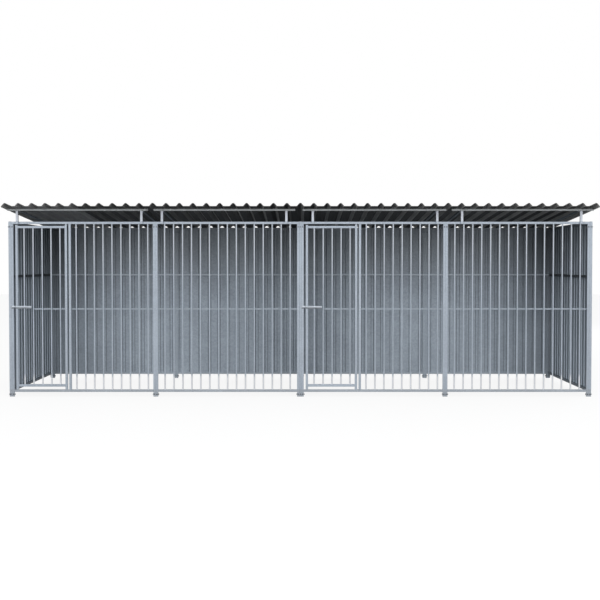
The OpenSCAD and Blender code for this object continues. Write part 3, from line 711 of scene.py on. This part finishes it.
# %% [markdown]
# ## Weld beads
# Each frame is welded where two tubes meet. A bead is a small rope of metal round the joint, with a
# ripple for every pulse of the arc. A bump on the tube would leave its outline sharp, so the bead is a
# real shape: a circle or a rounded square is the path, a little circle is swept along it, and a sine on
# the curve's radius makes the ripples.

# %% Weld trees
RIPPLES, RIPPLE_RISE = 14, 0.22
SWEEP_SIDES = 6
CORNER_POINTS = 3


def rippled(w, path, bead, ripples):
    along = w.node("GeometryNodeSplineParameter", out="Factor")
    wave = w.node("ShaderNodeMath", {"operation": "SINE"}, {0: along * (2 * math.pi * ripples)})
    swollen = w.node("GeometryNodeSetCurveRadius", None, {"Curve": path, "Radius": 1 + RIPPLE_RISE * wave})
    section = w.node("GeometryNodeCurvePrimitiveCircle", None, {"Resolution": SWEEP_SIDES, "Radius": bead})
    swept = w.node("GeometryNodeCurveToMesh", None, {"Curve": swollen, "Profile Curve": section})
    return w.node("GeometryNodeSetShadeSmooth", None, {0: swept})


def bar_bead(w, size):
    path = w.node("GeometryNodeCurvePrimitiveCircle", None, {
        "Resolution": 2 * RIPPLES, "Radius": size["Bar width"] / 2})
    return rippled(w, path, size["Bead radius"], RIPPLES)


def tube_bead(w, size):
    square = w.node("GeometryNodeCurvePrimitiveQuadrilateral", None, {
        "Width": size["Tube width"], "Height": size["Tube width"]})
    rounded = w.node("GeometryNodeFilletCurve", {"mode": "POLY"}, {
        "Curve": square, "Count": CORNER_POINTS, "Radius": size["Corner radius"]})
    path = w.node("GeometryNodeResampleCurve", None, {"Curve": rounded, "Count": 4 * RIPPLES})
    return rippled(w, path, size["Bead radius"], 2 * RIPPLES)


bar_weld_tree = repeat_tree("bar_welds", ["Bar width", "Bead radius"], bar_bead)
tube_weld_tree = repeat_tree("tube_welds", ["Tube width", "Corner radius", "Bead radius"], tube_bead)

# %% Finding the ends of tubes and bars
TUBE, ROOF_TUBE, PARTITION_TUBE, BAR = 0.025, 0.020, 0.020, 0.016
SECTION_SLACK = 0.1
NEAR_GROUND = 0.03
MOSTLY = 0.5
X, Y, Z = range(3)
ALONG = (Vector((1, 0, 0)), Vector((0, 1, 0)), Vector((0, 0, 1)))


def end_welds(node, section):
    """Both ends of each straight tube or bar of this section in a node, except ends on the ground."""
    spots = []
    for low, high in solids(node):
        size = high - low
        axis = max(range(3), key=lambda k: size[k])
        across = [size[k] for k in range(3) if k != axis]
        if max(abs(width - section) for width in across) > SECTION_SLACK * section:
            continue
        middle = (low + high) / 2
        for end, way in ((low, -1), (high, 1)):
            spot = middle.copy()
            spot[axis] = end[axis]
            if axis != Z or spot.z > NEAR_GROUND:
                spots.append((spot, ALONG[axis] * way))
    return spots


def runs_along(facing, axis):
    return abs(facing[axis]) > MOSTLY


def panel_end(spot, node):
    """True where a top rail stops at the edge of its panel, with nothing to be welded to."""
    low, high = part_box(node)
    return spot.z > high.z - TUBE and min(spot.x - low.x, high.x - spot.x) < TUBE / 2


def welds_along(node, section, axis):
    return [(spot, facing) for spot, facing in end_welds(node, section) if runs_along(facing, axis)]


# %% Welds of the frames and the doors
TUBE_CORNER, BEAD, BAR_BEAD = 0.0025, 0.0016, 0.0013
PANELS = range(1, 5)
SIDES = ("left", "right")

frame_nodes = [f"{kind}_frame_{i}" for kind in ("front", "back") for i in PANELS]
tube_spots = [(spot, facing) for node in frame_nodes for spot, facing in end_welds(node, TUBE)
              if not (runs_along(facing, X) and panel_end(spot, node))]
for side in SIDES:
    tube_spots += welds_along(f"side_frame_{side}", TUBE, Y)
thin_spots = welds_along("partition_frame", PARTITION_TUBE, Y)
bar_spots = [weld for i in PANELS for weld in end_welds(f"front_bars_{i}", BAR)]

tube_sizes = {"Tube width": TUBE, "Corner radius": TUBE_CORNER, "Bead radius": BEAD}
thin_sizes = {**tube_sizes, "Tube width": PARTITION_TUBE}
bar_sizes = {"Bar width": BAR, "Bead radius": BAR_BEAD}
copies_at("frame_welds", tube_weld_tree, tube_sizes, tube_spots, "kennel", "galvanised_tube")
copies_at("partition_welds", tube_weld_tree, thin_sizes, thin_spots, "kennel", "galvanised_tube")
copies_at("bar_welds", bar_weld_tree, bar_sizes, bar_spots, "kennel", "galvanised_bar")
for side in SIDES:
    door = f"door_{side}"
    leaf = welds_along(f"door_frame_{side}", TUBE, X)
    copies_at(f"door_welds_{side}", tube_weld_tree, tube_sizes, leaf, door, "galvanised_tube")
    bars = end_welds(f"door_bars_{side}", BAR)
    copies_at(f"door_bar_welds_{side}", bar_weld_tree, bar_sizes, bars, door, "galvanised_bar")

# %% [markdown]
# ## Rivets
# The ribbed sheets are riveted to the frames through the flats between their ribs, along each rail and
# down each upright. A rivet's head is a low dome on the outside of the sheet, so a flattened ball with
# few faces is enough for the hundreds of them.

# %% Rivet tree and places
RIB_PITCH, RIB_BASE = 0.115, 0.040
RIVET_HEAD, RIVET_RISE = 0.0095, 0.0022
RIVET_SEGMENTS, RIVET_RINGS = 10, 6
EDGE_RIVET_STEP, RIVET_INSET = 0.30, TUBE / 3
SHEET_RISE = 0.0009


def rivet_head(w, size):
    radius = size["Head width"] / 2
    dome = w.node("GeometryNodeMeshUVSphere", None, {
        "Segments": RIVET_SEGMENTS, "Rings": RIVET_RINGS, "Radius": radius})
    flat = w.node("ShaderNodeCombineXYZ", None, {"X": 1.0, "Y": 1.0, "Z": size["Head rise"] / radius})
    low = w.node("GeometryNodeTransform", None, {"Geometry": dome, "Scale": flat})
    return w.node("GeometryNodeSetShadeSmooth", None, {0: low})


def sheet_rivets(node, frame_node, across, out):
    """Rivets of a sheet that is wide along the axis across and faces the direction out."""
    low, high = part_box(node)
    frame_low, frame_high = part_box(frame_node)
    middle = (low + high) / 2
    width = high[across] - low[across]
    way_out = 1 if sum(out) > 0 else -1
    face = frame_high if way_out > 0 else frame_low
    ribs = int((width + RIB_PITCH - RIB_BASE - 2 * TUBE) / RIB_PITCH)
    flats = [(k - ribs / 2) * RIB_PITCH for k in range(1, ribs)]
    heights = [low.z + RIVET_INSET, MID_RAIL, high.z - RIVET_INSET]
    places = [(u, z) for u in flats for z in heights]
    edge = width / 2 - TUBE / 2
    steps = int((high.z - low.z) / EDGE_RIVET_STEP)
    places += [(way * edge, low.z + RIVET_INSET + k * (high.z - low.z - 2 * RIVET_INSET) / steps)
               for way in (-1, 1) for k in range(steps + 1)]
    spots = []
    for u, z in places:
        spot = Vector((0, 0, z))
        spot[across] = middle[across] + u
        spot[1 - across] = face[1 - across] + SHEET_RISE * way_out
        spots.append((spot, out))
    return spots


# %% Rivets on the wall sheets
rivet_tree = repeat_tree("rivets", ["Head width", "Head rise"], rivet_head)
rivet_sizes = {"Head width": RIVET_HEAD, "Head rise": RIVET_RISE}
rivet_spots = []
for i in PANELS:
    rivet_spots += sheet_rivets(f"back_sheet_{i}", f"back_frame_{i}", X, Vector((0, 1, 0)))
rivet_spots += sheet_rivets("side_sheet_left", "side_frame_left", Y, Vector((-1, 0, 0)))
rivet_spots += sheet_rivets("side_sheet_right", "side_frame_right", Y, Vector((1, 0, 0)))
rivet_spots += sheet_rivets("partition_sheet", "partition_frame", Y, Vector((1, 0, 0)))
copies_at("sheet_rivets", rivet_tree, rivet_sizes, rivet_spots, "kennel", "bright_zinc")

# %% [markdown]
# ## Roof screws
# The roof sheets are held down by hexagon screws with a sealing washer: in every second valley over the
# purlins and over the back rail, and along the crests where two sheets lap. The roof is a tilted plane,
# so one function turns a place along the front, down the slope and off the sheet into kennel coordinates.

# %% Places on the roof
ROOF_SLOPE = math.radians(3.75)
RIBS_ACROSS, RIBS_IN_SHEET = 44, 11
RIB_FOOT, RIB_HEIGHT, EDGE_LIP = 0.0356, 0.031, 0.006
ROOF_SHEET, LAP_LIFT = 0.0012, 0.0014
FRONT_OVERHANG, RUN_DEPTH = 0.255, 2.0
PURLIN_REACH, SEAT_GAP, WELD_GAP = 0.0225, 0.0001, 0.0002

roof_boxes = [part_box(f"roof_sheet_{i}") for i in PANELS]
roof_left, roof_right = roof_boxes[0][0].x, roof_boxes[-1][1].x
rib_pitch = (roof_right - roof_left - 2 * (RIB_FOOT + EDGE_LIP)) / RIBS_ACROSS
sheet_low, sheet_high = roof_boxes[1]
sheet_top = RIB_HEIGHT + LAP_LIFT + ROOF_SHEET
eave_y = sheet_low.y
roof_length = (sheet_high.y - eave_y - sheet_top * math.sin(ROOF_SLOPE)) / math.cos(ROOF_SLOPE)
eave_z = sheet_low.z + roof_length * math.sin(ROOF_SLOPE)
up_from_roof = Vector((0, math.sin(ROOF_SLOPE), math.cos(ROOF_SLOPE)))
down_slope = Vector((0, math.cos(ROOF_SLOPE), -math.sin(ROOF_SLOPE)))


def on_roof(x, along, off):
    return Vector((x, eave_y, eave_z)) + down_slope * along + up_from_roof * off


def rib_x(k):
    return (k - RIBS_ACROSS / 2) * rib_pitch


purlin_line = (FRONT_OVERHANG - PURLIN_REACH) / math.cos(ROOF_SLOPE) + ROOF_TUBE / 2
back_rail_line = (FRONT_OVERHANG + RUN_DEPTH - TUBE / 2) / math.cos(ROOF_SLOPE)
print("roof length:", round(roof_length, 4), "rib pitch:", round(rib_pitch, 5))

# %% Hexagon screw tree
SCREW_FLATS, SCREW_HEAD, SCREW_WASHER = 0.008, 0.0045, 0.0145
HEXAGON, WASHER_SIDES = 6, 12
WASHER_DOME, WASHER_HEIGHT = 0.40, 0.35
HEAD_SHARE, CHAMFER_SHARE, CHAMFER_TOP = 0.85, 0.15, 0.8


def cone(w, sides, bottom, top, depth):
    return w.node("GeometryNodeMeshCone", None, {
        "Vertices": sides, "Radius Bottom": bottom, "Radius Top": top, "Depth": depth})


def hexagon_screw(w, size):
    """A domed washer, a hexagon on it and a chamfer on top of that."""
    corner, head, width = size["Flats"] / math.sqrt(3), size["Head height"], size["Washer width"]
    washer = cone(w, WASHER_SIDES, width / 2, width * WASHER_DOME, head * WASHER_HEIGHT)
    hexagon = cone(w, HEXAGON, corner, corner, head * HEAD_SHARE)
    chamfer = cone(w, HEXAGON, corner, corner * CHAMFER_TOP, head * CHAMFER_SHARE)
    lift = w.node("ShaderNodeCombineXYZ", None, {"Z": head * HEAD_SHARE})
    raised = w.node("GeometryNodeTransform", None, {"Geometry": chamfer, "Translation": lift})
    return w.node("GeometryNodeJoinGeometry", None, {"Geometry": [washer, hexagon, raised]})


screw_tree = repeat_tree("hexagon_screws", ["Flats", "Head height", "Washer width"], hexagon_screw)
screw_sizes = {"Flats": SCREW_FLATS, "Head height": SCREW_HEAD, "Washer width": SCREW_WASHER}

# %% Roof screws
LAP_SCREWS, LAP_END = 6, 0.12
SCREW_EVERY, VALLEY = 2, 0.5

purlin_boxes = [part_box(f"roof_purlin_{i}") for i in PANELS]
roof_screws = []
for k in range(0, RIBS_ACROSS, SCREW_EVERY):
    x = rib_x(k + VALLEY)
    if any(low.x + TUBE / 2 < x < high.x - TUBE / 2 for low, high in purlin_boxes):
        roof_screws.append((on_roof(x, purlin_line, ROOF_SHEET), up_from_roof))
    roof_screws.append((on_roof(x, back_rail_line, ROOF_SHEET), up_from_roof))
for k in range(RIBS_IN_SHEET, RIBS_ACROSS, RIBS_IN_SHEET):
    for n in range(LAP_SCREWS):
        along = LAP_END + n * (roof_length - 2 * LAP_END) / (LAP_SCREWS - 1)
        roof_screws.append((on_roof(rib_x(k), along, sheet_top), up_from_roof))
copies_at("roof_screws", screw_tree, screw_sizes, roof_screws, "kennel", "black_roof")

# %% [markdown]
# ## Roof frames
# Each upright is screwed to the front of the top rail and welded under its purlin. The rafters are
# welded between the purlin and the back rail. They slope with the roof, so their ends are worked out on
# the roof's plane, where a box would only give their outermost points.

# %% Upright screws and roof frame welds
OUT_FRONT = Vector((0, -1, 0))
upright_screws, upright_welds, rafter_welds = [], [], []
rafter_start = purlin_line + ROOF_TUBE / 2 + WELD_GAP
rafter_end = (FRONT_OVERHANG + RUN_DEPTH - TUBE - WELD_GAP) / math.cos(ROOF_SLOPE)
rafter_depth = -SEAT_GAP - ROOF_TUBE / 2
for i in PANELS:
    for low, high in solids(f"roof_uprights_{i}"):
        middle = (low + high) / 2
        upright_screws.append((Vector((middle.x, low.y, low.z + TUBE / 2)), OUT_FRONT))
        upright_welds.append((Vector((middle.x, middle.y, high.z)), ALONG[Z]))
    for low, high in solids(f"roof_rafters_{i}"):
        x = (low.x + high.x) / 2
        rafter_welds.append((on_roof(x, rafter_start, rafter_depth), -down_slope))
        rafter_welds.append((on_roof(x, rafter_end, rafter_depth), down_slope))
roof_sizes = {**tube_sizes, "Tube width": ROOF_TUBE}
copies_at("upright_screws", screw_tree, screw_sizes, upright_screws, "kennel", "bright_zinc")
copies_at("upright_welds", tube_weld_tree, tube_sizes, upright_welds, "kennel", "galvanised_tube")
copies_at("rafter_welds", tube_weld_tree, roof_sizes, rafter_welds, "kennel", "galvanised_tube")

# %% [markdown]
# ## Washers under the panel bolts
# Every panel bolt clamps two or three tubes, with a washer under its head and another under its nut. A
# bolt and its nut are found by their boxes, and the washers lie on the faces of the tubes between them. A
# cone that narrows a little gives a washer its rounded edge.

# %% Washers
WASHER_WIDTH, WASHER_THICKNESS = 0.0175, 0.0016
FLAT_WASHER_SIDES, WASHER_BEVEL = 20, 0.47
HEAD_HEIGHT = 0.0055


def flat_washer(w, size):
    return cone(w, FLAT_WASHER_SIDES, size["Width"] / 2, size["Width"] * WASHER_BEVEL, size["Thickness"])


washer_tree = repeat_tree("flat_washers", ["Width", "Thickness"], flat_washer)
washer_sizes = {"Width": WASHER_WIDTH, "Thickness": WASHER_THICKNESS}
nuts = solids("panel_nuts")
washers = []
for low, high in solids("panel_bolts"):
    centre = (low + high) / 2
    nut = min(nuts, key=lambda box: ((box[0] + box[1]) / 2 - centre).length)
    way = 1 if (nut[0].x + nut[1].x) / 2 > centre.x else -1
    nut_face = nut[0].x if way > 0 else nut[1].x
    head_face = low.x + HEAD_HEIGHT if way > 0 else high.x - HEAD_HEIGHT
    washers.append((Vector((nut_face, centre.y, centre.z)), ALONG[X] * way))
    washers.append((Vector((head_face, centre.y, centre.z)), ALONG[X] * -way))
copies_at("bolt_washers", washer_tree, washer_sizes, washers, "kennel", "dull_fixing")

# %% [markdown]
# ## Tacks on the strips
# The flat strip behind the bars is tacked to every bar on both sides. A tack is a small flattened drop
# of weld, so the rivet's dome serves for it in another size.

# %% Tacks on the strips
TACK_WIDTH, TACK_RISE = 0.0055, 0.0024
TACK_OFFSET = 0.36
LONG = 10 * BAR


def strip_tacks(node):
    boxes = solids(node)
    strips = [box for box in boxes if (box[1] - box[0]).x > LONG]
    bars = [box for box in boxes if (box[1] - box[0]).z > LONG]
    spots = []
    for strip_low, strip_high in strips:
        height = (strip_low.z + strip_high.z) / 2
        for low, high in bars:
            middle = (low.x + high.x) / 2
            if strip_low.x < middle < strip_high.x:
                for way in (-1, 1):
                    spot = Vector((middle + way * BAR * TACK_OFFSET, strip_low.y, height))
                    spots.append((spot, OUT_FRONT))
    return spots


tack_sizes = {"Head width": TACK_WIDTH, "Head rise": TACK_RISE}
fixed_tacks = [tack for i in PANELS for tack in strip_tacks(f"front_bars_{i}")]
copies_at("strip_tacks", rivet_tree, tack_sizes, fixed_tacks, "kennel", "galvanised_bar")

# %% [markdown]
# ## Rivets on the latches
# The latch and its keeper are riveted to the tubes behind their plates. The rivets sit in the lower edge
# of each plate, clear of the sliding rod. The keepers stay with the kennel. The latch's rivets and the
# tacks on the door's own strip ride on the door, so that they swing with it.

# %% Rivets on the keepers, and tacks and rivets on the doors
LATCH_RIVET = 0.0065
PLATE_EDGE, PLATE_THICKNESS = 0.0045, 0.003
KEEPER_WIDTH = 0.021


def plate_rivet(x, low, high):
    return Vector((x, high.y - PLATE_THICKNESS, low.z + PLATE_EDGE)), OUT_FRONT


latch_rivet_sizes = {"Head width": LATCH_RIVET, "Head rise": RIVET_RISE}
keeper_rivets = [plate_rivet(low.x + KEEPER_WIDTH / 2, low, high) for low, high in solids("latch_keepers")]
copies_at("keeper_rivets", rivet_tree, latch_rivet_sizes, keeper_rivets, "kennel", "bright_zinc")
for side in SIDES:
    door = f"door_{side}"
    tacks = strip_tacks(f"door_bars_{side}")
    copies_at(f"door_strip_tacks_{side}", rivet_tree, tack_sizes, tacks, door, "galvanised_bar")
    low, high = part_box(f"latch_body_{side}")
    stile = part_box(f"door_frame_{side}")[0].x + TUBE / 2
    rivets = [plate_rivet(x, low, high) for x in (stile, (stile + high.x) / 2, high.x - PLATE_EDGE)]
    copies_at(f"latch_rivets_{side}", rivet_tree, latch_rivet_sizes, rivets, door, "bright_zinc")

# %% [markdown]
# ## The floor
# A plain pale floor carries the kennel. A floor that is only lit would come out grey, so the camera sees
# it mostly as its own pale glow, with enough of the real shading left in to keep a soft shadow. Other
# rays meet a dark floor, so that it throws little light back up, but zinc mirrors a paler one.

# %% Floor
FLOOR_GLOW, SHADOW_SHARE = 1.117, 0.21
SHADED, BOUNCE, MIRRORED = 0.40, 0.05, 0.45
WHITE = (1, 1, 1, 1)
FLOOR_HALF = 40


def pale_floor():
    material = bpy.data.materials.new("pale_floor")
    material.use_nodes = True
    material.node_tree.nodes.clear()
    w = Wire(material.node_tree)
    seen = w.node("ShaderNodeLightPath", out="Is Camera Ray")
    mirrored = w.node("ShaderNodeLightPath", out="Is Glossy Ray")
    grey = w.node("ShaderNodeCombineColor", None, {n: BOUNCE + (SHADED - BOUNCE) * seen for n in range(3)})
    shaded = w.node("ShaderNodeBsdfDiffuse", None, {"Color": grey})
    plain = w.node("ShaderNodeEmission", None, {"Color": WHITE, "Strength": FLOOR_GLOW})
    share = w.maths("MAXIMUM", seen * (1 - SHADOW_SHARE), mirrored * MIRRORED)
    mixed = w.node("ShaderNodeMixShader", None, {0: share, 1: shaded, 2: plain})
    w.node("ShaderNodeOutputMaterial", None, {"Surface": mixed})
    return material


floor_mesh = bpy.data.meshes.new("floor")
corners = [(x * FLOOR_HALF, y * FLOOR_HALF, 0) for x, y in ((-1, -1), (1, -1), (1, 1), (-1, 1))]
floor_mesh.from_pydata(corners, [], [(0, 1, 2, 3)])
floor = into_scene("floor", floor_mesh)
floor.data.materials.append(pale_floor())
print("floor:", 2 * FLOOR_HALF, "m square")

# %% [markdown]
# ## The light
# The sky is white to the camera and in reflections, and a slightly blue, dimmer daylight to everything
# else. One wide soft lamp in front and a smaller one behind at the right add to it. The front lamp is
# kept out of reflections, so that it draws no bright bands on the tubes.

# %% Sky and lamps
BACKGROUND = 1.0
DAYLIGHT, DAYLIGHT_STRENGTH = (0.96, 0.98, 1.0, 1), 0.8
FRONT_LAMP = {"place_at": (0, -14, 5.4), "look_at": (0, 0, 5.4), "width": 23, "height": 8.0, "power": 3700}
REAR_LAMP = {"place_at": (9, 10, 6), "look_at": (0, 0, 1.0), "width": 6, "height": 4, "power": 520}

world = bpy.data.worlds.new("soft_sky")
world.use_nodes = True
world.node_tree.nodes.clear()
sky = Wire(world.node_tree)
seen = sky.node("ShaderNodeLightPath", out="Is Camera Ray")
mirrored = sky.node("ShaderNodeLightPath", out="Is Glossy Ray")
backdrop = sky.node("ShaderNodeBackground", None, {"Color": WHITE, "Strength": BACKGROUND})
daylight = sky.node("ShaderNodeBackground", None, {"Color": DAYLIGHT, "Strength": DAYLIGHT_STRENGTH})
either = sky.maths("MAXIMUM", seen, mirrored)
both = sky.node("ShaderNodeMixShader", None, {0: either, 1: daylight, 2: backdrop})
sky.node("ShaderNodeOutputWorld", None, {"Surface": both})
bpy.context.scene.world = world


def soft_lamp(name, place_at, look_at, width, height, power):
    data = bpy.data.lights.new(name, "AREA")
    data.shape = "RECTANGLE"
    data.size = width
    data.size_y = height
    data.energy = power
    lamp = into_scene(name, data)
    lamp.location = place_at
    lamp.rotation_euler = (Vector(look_at) - Vector(place_at)).to_track_quat("-Z", "Y").to_euler()
    return lamp


soft_lamp("front", **FRONT_LAMP).visible_glossy = False
soft_lamp("rear", **REAR_LAMP)
bpy.context.scene.view_settings.view_transform = "Standard"
print("lamps:", [o.name for o in bpy.data.objects if o.type == "LIGHT"])
